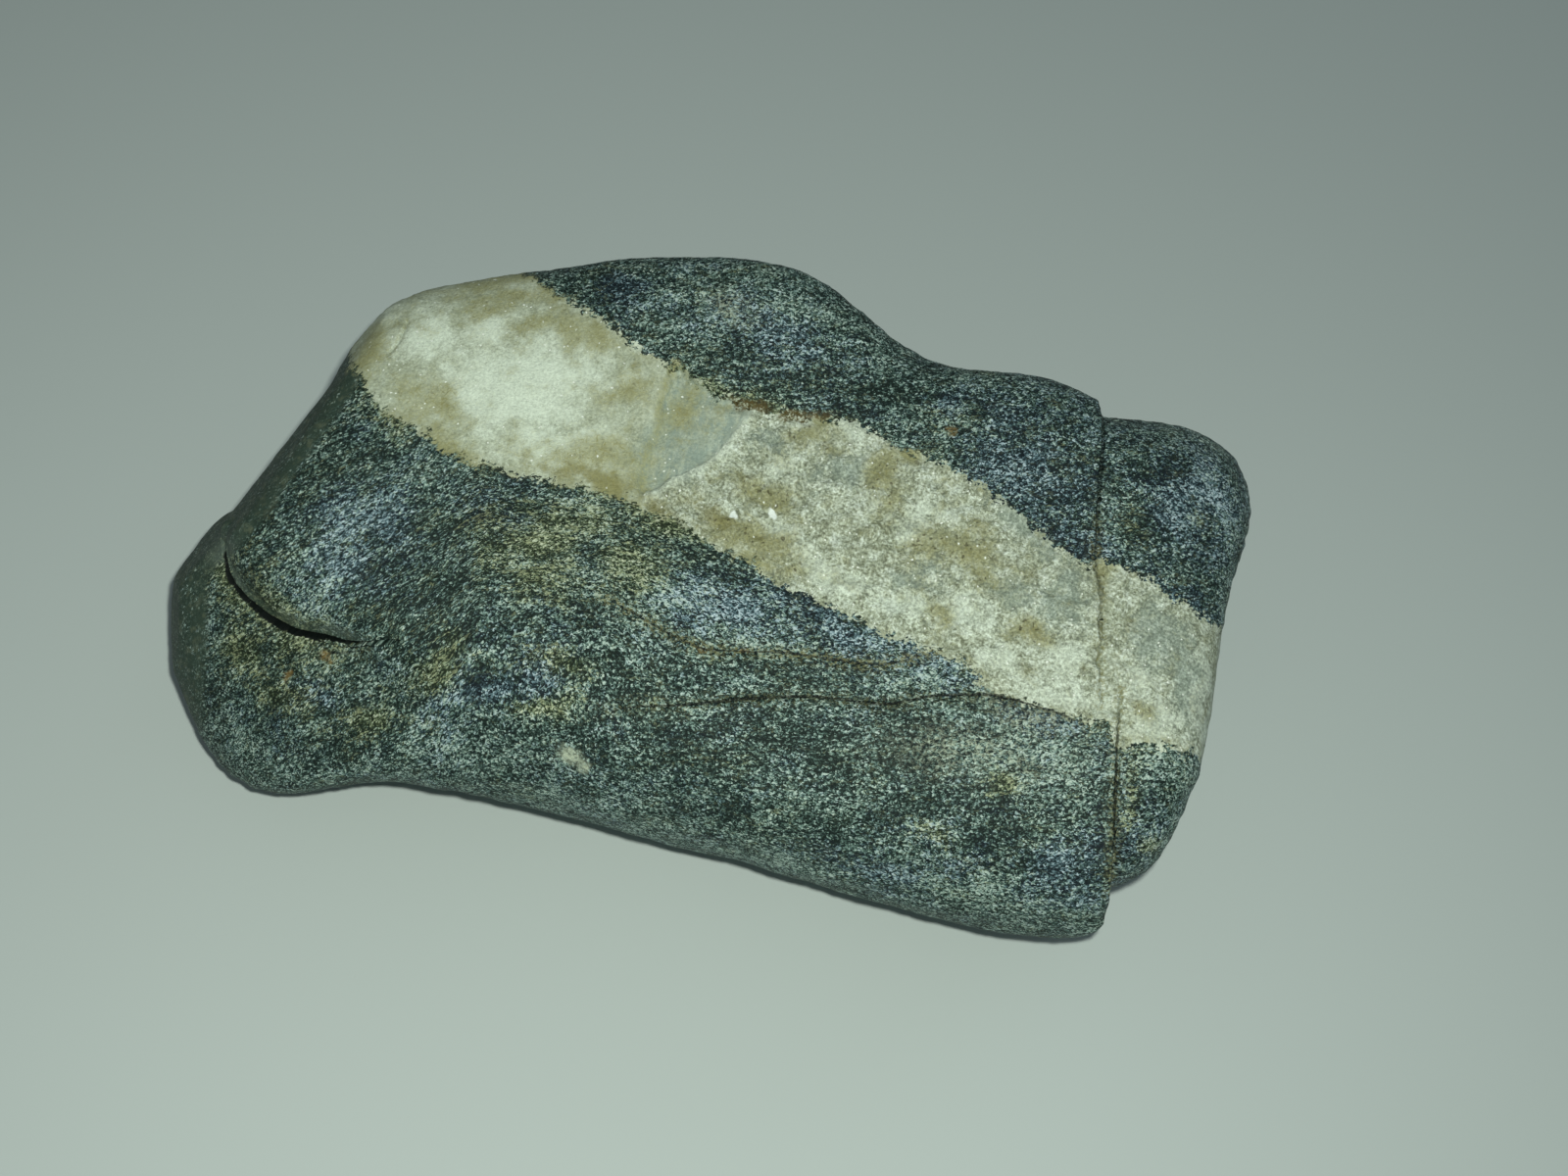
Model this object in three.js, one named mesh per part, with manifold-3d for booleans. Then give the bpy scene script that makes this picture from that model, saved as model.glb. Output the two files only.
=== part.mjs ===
// A river-worn cobble of dark mudstone crossed by a white quartz vein, all one piece of rock.
// Millimetres, +Z up. The stone stands on a small flat spot at z = 0, its length along X and its front at -Y.
//
// The stone leans back, so its broad side faces up and to the front. All but the worn faces is drawn across
// that side, in the "broad frame": x across, y up the slope and z out of the side, from the stone's middle.
import * as THREE from "three";
import { mergeVertices } from "three/addons/utils/BufferGeometryUtils.js";
import { ImprovedNoise } from "three/addons/math/ImprovedNoise.js";
import Module from "manifold-3d";

const { degToRad } = THREE.MathUtils;

// Driving dimensions
const middleHeight = 17.6; // the stone's middle above the surface it stands on
const broadLean = 30; // degrees that the broad side leans back from level
const broadTurn = 15; // degrees that the broad side turns away from the front
const swell = { size: 17, height: 0.75 }; // the broad unevenness of a river-worn face
const wear = { size: 5.5, height: 0.28 }; // the small unevenness on top of it
const footStep = 0.5; // how far the foot's faces lie below the block's
const heelStep = 0.8; // how far the heel's faces lie below the block's
const hardness = 8; // how sharply the worn faces meet: 2 is a ball, and a high number has corners
const tuck = 4; // how far the heel reaches in under the block, past the joint
const roomReach = 100; // further out than any point of the stone

// How finely the curves are stepped
const outlineSteps = 720; // points round a lobe's outline
const crackSides = 5; // sides of a crack's section
const crackStep = 2; // the distance between a crack's sections
const merging = { unitBall: 0.01, stone: 0.001 }; // corners this close are one: on a ball of radius 1, in mm

// Faces that the river has worn on the whole stone: the way each looks (its turn in plan and its rise above
// level) and how far it lies from the stone's middle
const wornFaces = [
  { name: "top", turn: -90, rise: 80, away: 15 },
  { name: "front", turn: -92, rise: 18, away: 25 },
  { name: "front edge", turn: -92, rise: 50, away: 22.5 },
  { name: "back", turn: 92, rise: -12, away: 29 },
  { name: "back edge", turn: 95, rise: 46, away: 37 },
  { name: "left end", turn: 157, rise: 15, away: 53 },
  { name: "left end of the underside", turn: 180, rise: -83, away: 20.2 },
  { name: "right end of the underside", turn: 0, rise: -83, away: 20.2 },
  { name: "under front", turn: -90, rise: -50, away: 24 },
  { name: "under back", turn: 90, rise: -55, away: 25 },
];

// The main block, from the nose on the left to beyond the joint on the right
const block = {
  centre: [-4, 0, 0],
  proportions: [45, 30, 22],
  detail: 16,
  outline: [
    [-46.2, 9],
    [-43.4, 12.2],
    [-39.7, 16.9],
    [-36.9, 21.1],
    [-35.2, 25.4],
    [-30.6, 30.7],
    [-24, 32.8],
    [-12.2, 34.2],
    [-7, 35.6],
    [-1.5, 36.6],
    [4.2, 36.4],
    [9.4, 34.6],
    [13, 31.6],
    [16, 27.6],
    [19.8, 24.3],
    [23.8, 22.3],
    [28.1, 22.2],
    [33, 21.6],
    [37, 19.6],
    [41, 16],
    [44, 8],
    [45, -4],
    [44, -16],
    [41, -26],
    [38.2, -30.4],
    [34.8, -32.2],
    [31.1, -32.4],
    [26.5, -31.6],
    [21, -30.3],
    [14.3, -28.2],
    [7.8, -26],
    [0.2, -24],
    [-7.2, -22.1],
    [-13.9, -20.5],
    [-20.6, -19.2],
    [-26.4, -18.4],
    [-30.8, -17],
    [-31.6, -13],
    [-31.9, -8.6],
    [-33, -5],
    [-35.4, -2.9],
    [-38.8, -2.1],
    [-42.2, 0.3],
    [-45, 3.8],
  ],
  faces: wornFaces,
};

// The foot, which reaches further left under the nose
const foot = {
  centre: [-16, -3, -2],
  proportions: [40, 24, 20],
  detail: 15,
  outline: [
    [-42, 11],
    [-45, 9.6],
    [-47.6, 8.8],
    [-51.2, 6.4],
    [-54.4, 2.8],
    [-55.6, -1.6],
    [-54.4, -6],
    [-52.2, -10.8],
    [-48.6, -16.8],
    [-45.4, -19],
    [-41, -19.4],
    [-36.6, -18.6],
    [-31, -17.4],
    [-24, -18.2],
    [-10, -20],
    [10, -20],
    [22, -10],
    [22, 10],
    [10, 22],
    [-10, 25],
    [-26, 22],
    [-36, 17],
  ],
  faces: wornBeside(footStep, [
    { name: "down to the toe", turn: -113, rise: 47, away: 25 },
    { name: "left", turn: 195, rise: 10, away: 62 },
    { name: "front", turn: -76, rise: 18, away: 22 },
    { name: "under front", turn: -76, rise: -50, away: 22 },
    { name: "under the toe", turn: 180, rise: -60, away: 40 },
  ]),
};

// The block beyond the joint, on the right, a little lower than its neighbour
const heel = {
  centre: [38, -4, -3],
  proportions: [15, 22, 16],
  detail: 9,
  outline: [
    [30, 17.2],
    [36, 17.2],
    [41.6, 17],
    [47, 16.6],
    [51.4, 15],
    [53.4, 12.2],
    [53.6, 8.8],
    [52, 5],
    [50, 1.2],
    [48.8, -3.1],
    [48, -7.7],
    [46.4, -13],
    [45, -17.2],
    [42.9, -21],
    [41, -24.4],
    [38.6, -26.2],
    [34, -27],
    [28, -25],
    [26, -10],
    [26, 5],
  ],
  faces: wornBeside(heelStep, [
    { name: "right edge", turn: 0, rise: 50, away: 41 },
    { name: "right", turn: 10, rise: 8, away: 56 },
    { name: "under right", turn: 0, rise: -60, away: 38 },
  ]),
};

// Flat sides cut straight across the stone's left end, each with a ridge where it begins. They are placed
// as the worn faces are.
const cutSides = [
  { name: "side of the nose", turn: 172, rise: 37, away: 39 },
  { name: "side of the toe", turn: 206, rise: 19, away: 47.8 },
];

// Rises and hollows of the side that faces up: where they lie across it, how wide they are and how high.
// They fade out where the side turns under, between these two places along the broad frame's z.
const reliefFade = { none: -4, full: 6 };
const relief = [
  { name: "lump by the back edge", place: [7, 27], reach: 12, rise: 2.2 },
  { name: "shoulder of the lump", place: [-9, 29], reach: 6, rise: 0.7 },
  { name: "valley under the lump", place: [14, 19], reach: 7, rise: -1.5 },
  { name: "right shoulder", place: [34, 13], reach: 9, rise: 0.9 },
  { name: "hollow of the vein", place: [2, 15], reach: 8, rise: -0.9 },
  { name: "belly below the vein", place: [2, -12], reach: 15, rise: 1 },
  { name: "dimple over the toe", place: [-21, -8], reach: 4, rise: -0.7 },
];

// The joint between the block and the heel, from the back edge to the front
const joint = [
  [37.5, 30],
  [37.5, 16.3],
  [36.8, 11],
  [36, 4],
  [36.3, 0],
  [35.6, -9.5],
  [37.4, -10.6],
  [36.9, -14],
  [36.6, -19],
  [36.6, -24.5],
  [35.6, -45],
];

// Cracks and ledges: the line each follows, how wide it opens and how deep it runs, and the way it runs in
const cracks = [
  {
    name: "under the nose",
    width: 1.3,
    depth: 2.2,
    into: [0.25, 0.8, -0.55],
    line: [
      [-45.6, 5.2, 5.3],
      [-45, 2.8, 6.1],
      [-43.6, 1, 6.9],
      [-42.1, -0.1, 7.5],
      [-40.4, -1.6, 8.1],
      [-38.2, -2.8, 8.9],
      [-36.4, -3.1, 9.6],
      [-34.2, -3.4, 10.4],
      [-32, -3.9, 11.6],
      [-29.7, -3.8, 12.9],
      [-26.8, -3.7, 14.1],
    ],
  },
  {
    name: "joint",
    width: 0.6,
    depth: 0.7,
    into: [0, 0, -1],
    line: [
      [37.7, 18, 8.6],
      [37.2, 14.5, 11.4],
      [36.7, 10.7, 13],
      [36.3, 7.5, 14.3],
      [36, 4.1, 15.3],
      [36.3, 1, 16.4],
      [36.1, -3, 17.9],
      [35.7, -9.3, 20],
      [37.3, -10.6, 20],
      [36.9, -14, 21.2],
      [36.6, -19, 21.6],
    ],
  },
  {
    name: "open end of the joint",
    width: 1,
    depth: 1.5,
    into: [0, 0.3, -0.95],
    line: [
      [36.7, -15.5, 21.4],
      [36.6, -19, 21.6],
      [36.6, -22.5, 21],
      [36.6, -25.5, 19.4],
      [36.5, -28, 16.4],
    ],
  },
  {
    name: "upper crack",
    width: 0.5,
    depth: 0.5,
    into: [0, 0, -1],
    line: [
      [-8.6, 0.4, 15.6],
      [-5.3, -1.4, 16.6],
      [0, -4.1, 17.9],
      [3.7, -4.5, 18.1],
      [8.2, -4.7, 18.2],
      [12.6, -5.3, 18.5],
      [17, -5.6, 18.8],
      [21.5, -4.5, 18.7],
    ],
  },
  {
    name: "lower crack",
    width: 0.6,
    depth: 0.6,
    into: [0, 0, -1],
    line: [
      [-8.3, -9.8, 18.2],
      [-1.6, -9.3, 19],
      [4.4, -8.7, 19.3],
      [10.4, -8.5, 19.5],
      [16.5, -9.1, 19.9],
      [21.2, -8.4, 19.9],
      [27.5, -8.6, 20.3],
      [31.4, -9.7, 20.9],
      [35.4, -11.2, 21.2],
    ],
  },
  {
    name: "ledge over the vein",
    width: 1.2,
    depth: 0.7,
    into: [0, 0.6, -0.8],
    line: [
      [-2.6, 20, 8.8],
      [2.3, 18.5, 9.4],
      [6.4, 17.2, 9.9],
      [10.4, 17, 9.9],
      [14.8, 16.6, 10.4],
    ],
  },
  {
    name: "end of the smooth quartz",
    width: 0.7,
    depth: 0.5,
    into: [0, 0, -1],
    line: [
      [-3.7, 19, 9],
      [-4.1, 16.1, 9.7],
      [-5, 13.6, 10.4],
      [-5.6, 11, 11.3],
    ],
  },
  {
    name: "edge of the rough quartz",
    width: 0.7,
    depth: 0.5,
    into: [0, 0, -1],
    line: [
      [2.1, 18, 9.5],
      [1.1, 13, 11],
      [-1.7, 11.4, 11.4],
      [-5.6, 10, 11.8],
    ],
  },
];

// From the broad frame to the frame that the stone stands in
const toStanding = new THREE.Matrix4()
  .makeTranslation(0, 0, middleHeight)
  .multiply(new THREE.Matrix4().makeRotationZ(degToRad(broadTurn)))
  .multiply(new THREE.Matrix4().makeRotationX(degToRad(broadLean)));
const toBroad = toStanding.clone().invert();

const noise = new ImprovedNoise();

// The way a face looks, from its turn in plan and its rise above level, in the broad frame
function faceNormal({ turn, rise }) {
  const flat = Math.cos(degToRad(rise));
  return new THREE.Vector3(
    flat * Math.cos(degToRad(turn)),
    flat * Math.sin(degToRad(turn)),
    Math.sin(degToRad(rise)),
  ).transformDirection(toBroad);
}

// The worn faces a step lower, with a lobe's own faces added or taking the place of their namesakes
function wornBeside(step, own) {
  const shared = wornFaces.filter(({ name }) => !own.some((face) => face.name === name));
  return [...shared.map((face) => ({ ...face, away: face.away - step })), ...own];
}

// How far a lobe's outline lies from its centre at an angle, along a smooth closed curve through its points
function outlineReach(outline, centre) {
  const corners = outline.map(([x, y]) => new THREE.Vector3(x - centre[0], y - centre[1], 0));
  const curve = new THREE.CatmullRomCurve3(corners, true, "centripetal");
  const points = curve.getPoints(outlineSteps);
  return (angle) => {
    const ray = new THREE.Vector3(Math.cos(angle), Math.sin(angle), 0);
    const across = new THREE.Vector3(-ray.y, ray.x, 0);
    for (let i = 1; i < points.length; i++) {
      const from = points[i - 1].dot(across);
      const to = points[i].dot(across);
      const crosses = from !== to && from * to <= 0;
      if (crosses && points[i].dot(ray) > 0) {
        return points[i - 1].clone().lerp(points[i], from / (from - to)).length();
      }
    }
    throw new Error("the outline doesn't go round its centre");
  };
}

// The height of an unevenness of one size at a point
function noiseAt(point, { size, height }) {
  return height * noise.noise(point.x / size, point.y / size, point.z / size);
}

// How much further out the worn surface lies at a point than the plain lobe does
function reliefAt(point) {
  let height = noiseAt(point, swell) + noiseAt(point, wear);
  const facing = THREE.MathUtils.smoothstep(point.z, reliefFade.none, reliefFade.full);
  for (const { place, reach, rise } of relief) {
    const far = Math.hypot(point.x - place[0], point.y - place[1]) / reach;
    height += facing * rise * Math.exp(-far * far);
  }
  return height;
}

// One lobe: a sphere whose points move out to the outline's wall and the worn faces, rounded where they meet
function lobeGeometry({ centre, proportions, detail, outline, faces }) {
  const middle = new THREE.Vector3(...centre);
  const wall = outlineReach(outline, centre);
  const planes = faces.map((face) => {
    const normal = faceNormal(face);
    return { normal, away: face.away - normal.dot(middle) };
  });
  const geometry = joined(new THREE.IcosahedronGeometry(1, detail), merging.unitBall);
  const places = geometry.getAttribute("position");
  for (let i = 0; i < places.count; i++) {
    const way = new THREE.Vector3().fromBufferAttribute(places, i);
    way.multiply(new THREE.Vector3(...proportions)).normalize();
    let sum = (Math.hypot(way.x, way.y) / wall(Math.atan2(way.y, way.x))) ** hardness;
    for (const { normal, away } of planes) sum += Math.max(0, way.dot(normal) / away) ** hardness;
    const point = middle.clone().addScaledVector(way, sum ** (-1 / hardness));
    point.addScaledVector(way, reliefAt(point));
    places.setXYZ(i, ...point);
  }
  return geometry.applyMatrix4(toStanding);
}

// The room that a crack takes up: a tube along its line, drawn out to its depth, which closes to a point at
// both ends
function crackGeometry({ width, depth, into, line }) {
  const curve = new THREE.CatmullRomCurve3(line.map((point) => new THREE.Vector3(...point)));
  const segments = Math.ceil(curve.getLength() / crackStep);
  const geometry = new THREE.TubeGeometry(curve, segments, width / 2, crackSides);
  const places = geometry.getAttribute("position");
  const inward = new THREE.Vector3(...into).normalize();
  for (let i = 0; i < places.count; i++) {
    const along = Math.floor(i / (crackSides + 1)) / segments;
    const middle = curve.getPointAt(along);
    const out = new THREE.Vector3().fromBufferAttribute(places, i).sub(middle);
    out.multiplyScalar(along < 1 ? Math.sin(Math.PI * along) ** 0.5 : 0);
    out.addScaledVector(inward, out.dot(inward) * ((2 * depth) / width - 1));
    places.setXYZ(i, ...middle.add(out));
  }
  return geometry.applyMatrix4(toStanding);
}

// The same geometry with only its places, and one corner wherever several meet
function joined(geometry, apart) {
  geometry.deleteAttribute("normal").deleteAttribute("uv");
  return mergeVertices(geometry, apart);
}

const wasm = await Module();
wasm.setup();

// A closed geometry as a solid, without the triangles that have no area where a crack closes to a point
function solidFrom(geometry) {
  const closed = joined(geometry, merging.stone);
  const corners = [];
  for (let i = 0; i < closed.index.count; i += 3) {
    const [a, b, c] = closed.index.array.subarray(i, i + 3);
    if (a !== b && b !== c && c !== a) corners.push(a, b, c);
  }
  return new wasm.Manifold(new wasm.Mesh({
    numProp: 3,
    vertProperties: closed.getAttribute("position").array,
    triVerts: new Uint32Array(corners),
  }));
}

function geometryFrom(solid) {
  const { numProp, vertProperties, triVerts } = solid.getMesh();
  const places = [];
  for (let i = 0; i < vertProperties.length; i += numProp) {
    places.push(...vertProperties.subarray(i, i + 3));
  }
  const geometry = new THREE.BufferGeometry();
  geometry.setAttribute("position", new THREE.Float32BufferAttribute(places, 3));
  geometry.setIndex(new THREE.BufferAttribute(triVerts, 1));
  geometry.computeVertexNormals();
  return geometry;
}

// Everything above the surface that the stone stands on
function aboveGround() {
  const room = new THREE.BoxGeometry(2 * roomReach, 2 * roomReach, roomReach);
  return solidFrom(room.translate(0, 0, roomReach / 2));
}

// Everything past a flat side of the stone
function beyondFace(face) {
  const outward = faceNormal(face).transformDirection(toStanding);
  const turned = new THREE.Quaternion().setFromUnitVectors(new THREE.Vector3(0, 0, 1), outward);
  const room = new THREE.BoxGeometry(2 * roomReach, 2 * roomReach, roomReach);
  const placed = room.translate(0, 0, roomReach / 2 + face.away).applyQuaternion(turned);
  return solidFrom(placed.translate(0, 0, middleHeight));
}

// Everything on the heel's side of the joint, and a strip of the block's side of it
function beyondJoint(strip) {
  const side = new THREE.Shape(joint.map(([x, y]) => new THREE.Vector2(x - strip, y)));
  side.lineTo(roomReach, joint.at(-1)[1]);
  side.lineTo(roomReach, joint[0][1]);
  const prism = new THREE.ExtrudeGeometry(side, { depth: 2 * roomReach, bevelEnabled: false });
  return solidFrom(prism.translate(0, 0, -roomReach).applyMatrix4(toStanding));
}

const whole = solidFrom(lobeGeometry(block))
  .subtract(beyondJoint(0))
  .add(solidFrom(lobeGeometry(heel)).intersect(beyondJoint(tuck)))
  .add(solidFrom(lobeGeometry(foot)).subtract(beyondJoint(0)))
  .intersect(aboveGround());
const sided = cutSides.reduce((left, face) => left.subtract(beyondFace(face)), whole);
const stone = cracks.reduce((left, crack) => left.subtract(solidFrom(crackGeometry(crack))), sided);

// The origin is under the middle of the stone's box
const geometry = geometryFrom(stone);
geometry.computeBoundingBox();
const middle = geometry.boundingBox.getCenter(new THREE.Vector3());
geometry.translate(-middle.x, -middle.y, 0);

const mudstone = new THREE.Mesh(
  geometry,
  new THREE.MeshStandardMaterial({ color: 0x4a5654, roughness: 0.8, metalness: 0 }),
);
mudstone.name = "mudstone";

const group = new THREE.Group();
group.add(mudstone);
export default group;
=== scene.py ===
import math

import bpy
import numpy as np
from mathutils import Matrix, Vector, noise


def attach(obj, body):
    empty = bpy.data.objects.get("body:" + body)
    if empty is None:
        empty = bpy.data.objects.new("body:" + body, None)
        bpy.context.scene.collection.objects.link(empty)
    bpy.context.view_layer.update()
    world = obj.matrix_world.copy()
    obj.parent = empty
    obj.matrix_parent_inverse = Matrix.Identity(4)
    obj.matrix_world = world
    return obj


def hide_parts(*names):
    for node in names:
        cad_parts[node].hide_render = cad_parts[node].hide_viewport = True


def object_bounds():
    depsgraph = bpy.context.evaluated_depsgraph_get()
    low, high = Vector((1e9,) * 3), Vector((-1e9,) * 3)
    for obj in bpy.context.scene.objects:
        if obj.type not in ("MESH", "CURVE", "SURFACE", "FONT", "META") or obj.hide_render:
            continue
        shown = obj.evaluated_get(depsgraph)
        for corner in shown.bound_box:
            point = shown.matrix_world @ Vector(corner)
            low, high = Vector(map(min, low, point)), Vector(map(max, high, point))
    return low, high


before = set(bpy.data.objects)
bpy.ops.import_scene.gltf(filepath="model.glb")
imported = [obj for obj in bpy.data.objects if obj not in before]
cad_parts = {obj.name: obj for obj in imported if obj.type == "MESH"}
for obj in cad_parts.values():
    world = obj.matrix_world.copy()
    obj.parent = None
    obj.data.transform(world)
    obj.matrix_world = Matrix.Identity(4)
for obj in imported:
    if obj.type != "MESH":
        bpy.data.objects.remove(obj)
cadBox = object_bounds()

mm = 0.001

# The stone's broad side leans back and turns a little to the right. Marks on it are placed in mm:
# across it, up it and out of it, from the middle of the stone.
broadSide = {
    "middle": (0.00144, -0.00122, 0.0176),
    "turn": 15,
    "lean": 30,
}


def broadSideMatrix():
    turn = Matrix.Rotation(math.radians(broadSide["turn"]), 4, "Z")
    lean = Matrix.Rotation(math.radians(broadSide["lean"]), 4, "X")
    return Matrix.Translation(broadSide["middle"]) @ turn @ lean


def placesOf(piece):  # every vertex, in mm on the broad side
    flat = np.empty(3 * len(piece.data.vertices))
    piece.data.vertices.foreach_get("co", flat)
    inward = np.array(broadSideMatrix().inverted())
    return (flat.reshape(-1, 3) @ inward[:3, :3].T + inward[:3, 3]) / mm


# Lines and patches drawn on the stone

def smoothLine(points, steps=6):  # a smooth line through given points
    placed = np.array(points, float)
    padded = np.vstack([2 * placed[0] - placed[1], placed, 2 * placed[-1] - placed[-2]])
    t = np.linspace(0, 1, steps, endpoint=False)[:, None]
    stretches = []
    for a, b, c, d in zip(padded, padded[1:], padded[2:], padded[3:]):
        bend = 2 * b + (c - a) * t + (2 * a - 5 * b + 4 * c - d) * t**2 + (3 * b - a - 3 * c + d) * t**3
        stretches.append(bend / 2)
    return np.vstack(stretches + [placed[-1:]])


def distanceTo(places, line):  # how far each place is from the line, and how far along it, from 0 to 1
    nearest = np.full(len(places), np.inf)
    along = np.zeros(len(places))
    for step, (start, end) in enumerate(zip(line, line[1:])):
        run = end - start
        share = np.clip((places - start) @ run / (run @ run), 0, 1)
        away = np.linalg.norm(places - start - share[:, None] * run, axis=1)
        closer = away < nearest
        nearest[closer] = away[closer]
        along[closer] = (step + share[closer]) / (len(line) - 1)
    return nearest, along


def soften(value, low, high):  # 0 below low, 1 above high, smooth between them
    share = np.clip((value - low) / (high - low), 0, 1)
    return share * share * (3 - 2 * share)


def unevenness(places, size, seed=0.0):  # smooth noise from about -1 to 1, with lumps of that size
    shift = Vector((seed, seed * 1.7, -seed))
    return np.array([noise.noise(Vector(place) / size + shift) for place in places])


def bent(places, size, height):  # the places moved about, so that what is drawn there gets an uneven outline
    return places + height * np.column_stack([unevenness(places, size, seed) for seed in (1.3, 5.9, 8.2)])


def patch(places, across, up, wide, high, turn=0):  # 1 in the middle of an oval, fading to 0 outside it
    angle = math.radians(turn)
    x = places[:, 0] - across
    y = places[:, 1] - up
    along = (x * math.cos(angle) + y * math.sin(angle)) / wide
    over = (y * math.cos(angle) - x * math.sin(angle)) / high
    return np.exp(-along**2 - over**2)


# The quartz vein: a slab that runs right through the stone

vein = {
    "upperEdge": [
        (-80, 68), (-40, 46), (-25, 36.5), (-16.6, 31.1), (-13.2, 28.9), (-9.6, 26.6), (-5.3, 23.3),
        (-1.2, 21.1), (1.6, 19.1), (6.4, 17.6), (10.4, 17), (15.1, 16.4), (17.7, 14.5), (21.7, 13.1),
        (25.6, 10.7), (30, 7.1), (35.1, 3.1), (37.1, 3.5), (41.1, 1.5), (46.9, -2.1), (60, -10), (80, -22),
    ],
    "lowerEdge": [
        (-80, 78), (-40, 33), (-35, 25), (-32.9, 21.9), (-30.6, 18.9), (-26.5, 15.7), (-21.3, 12.6),
        (-14.5, 11.2), (-9.4, 10.2), (-5.7, 8.8), (-0.9, 6.4), (5.1, 3.5), (7, 1.5), (12.2, -0.8),
        (18, -3.4), (21.2, -4.6), (23.7, -5.3), (25.3, -7.5), (29.4, -9), (36.3, -10.9), (36.9, -12.8),
        (41.5, -12.9), (46, -14.5), (60, -22), (80, -34),
    ],
    "wander": (2.2, 0.5),  # how long and how high the small bends of its edges are, in mm
    "ragged": 3.2,  # how far its colour frays at the edges
    "grainy": 0.7,  # and how far it follows the grains of the rock
}


def sideOf(places, edge):  # distance to the edge: positive below it, negative above it
    flat = np.array(edge, float)
    away = distanceTo(places[:, :2], flat)[0]
    height = np.interp(places[:, 0], flat[:, 0], flat[:, 1])
    return np.where(places[:, 1] < height, away, -away)


def depthInVein(places):  # distance in from the nearer edge of the vein, negative in the rock
    size, height = vein["wander"]
    inside = np.minimum(sideOf(places, vein["upperEdge"]), -sideOf(places, vein["lowerEdge"]))
    return inside + height * unevenness(places, size, 3.1)


# Where the quartz changes: smooth and milky on the left, then a glassy step, then rough and granular
quartzSteps = {
    "smoothEnd": [(-2, 24), (-3.9, 18.7), (-4.1, 16.1), (-5.1, 13.5), (-5.5, 11.7), (-5.6, 6)],
    "roughStart": [(5, 24), (4.4, 17.8), (2.6, 15), (0.5, 12.8), (-1.7, 11.6), (-5.2, 10), (-6.5, 8)],
    "bends": ((2.4, 0.6), (1.1, 0.35)),  # how long and how high the bends of both are, in mm
    "fades": {"rock": (-0.3, 0.3), "smoothEnd": (0, 0.4), "roughStart": (0, 0.5)},
    # a darker tan line at the foot of the step where the smooth quartz ends: painted shade of the step
    "shadedStepRim": (0.1, 0.28),  # how far past the end of the smooth quartz it lies, and how wide it is
}


def rightOf(places, line):  # distance past a line that runs down, positive on its right
    flat = np.array(line, float)
    away = distanceTo(places[:, :2], flat)[0]
    place = np.interp(-places[:, 1], -flat[:, 1], flat[:, 0])
    return np.where(places[:, 0] > place, away, -away)


def stepRim(places, step, past, width):  # 1 along a line a little past a step
    return np.exp(-(((rightOf(places, quartzSteps[step]) - past) / width) ** 2))


def quartzShares(places):  # how much of each place is milky, glassy and rough quartz
    fades = quartzSteps["fades"]
    quartz = soften(depthInVein(places), *fades["rock"])
    for size, height in quartzSteps["bends"]:
        places = bent(places, size, height)
    pastSmooth = quartz * soften(rightOf(places, quartzSteps["smoothEnd"]), *fades["smoothEnd"])
    rough = pastSmooth * soften(rightOf(places, quartzSteps["roughStart"]), *fades["roughStart"])
    return quartz - pastSmooth, pastSmooth - rough, rough
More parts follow.
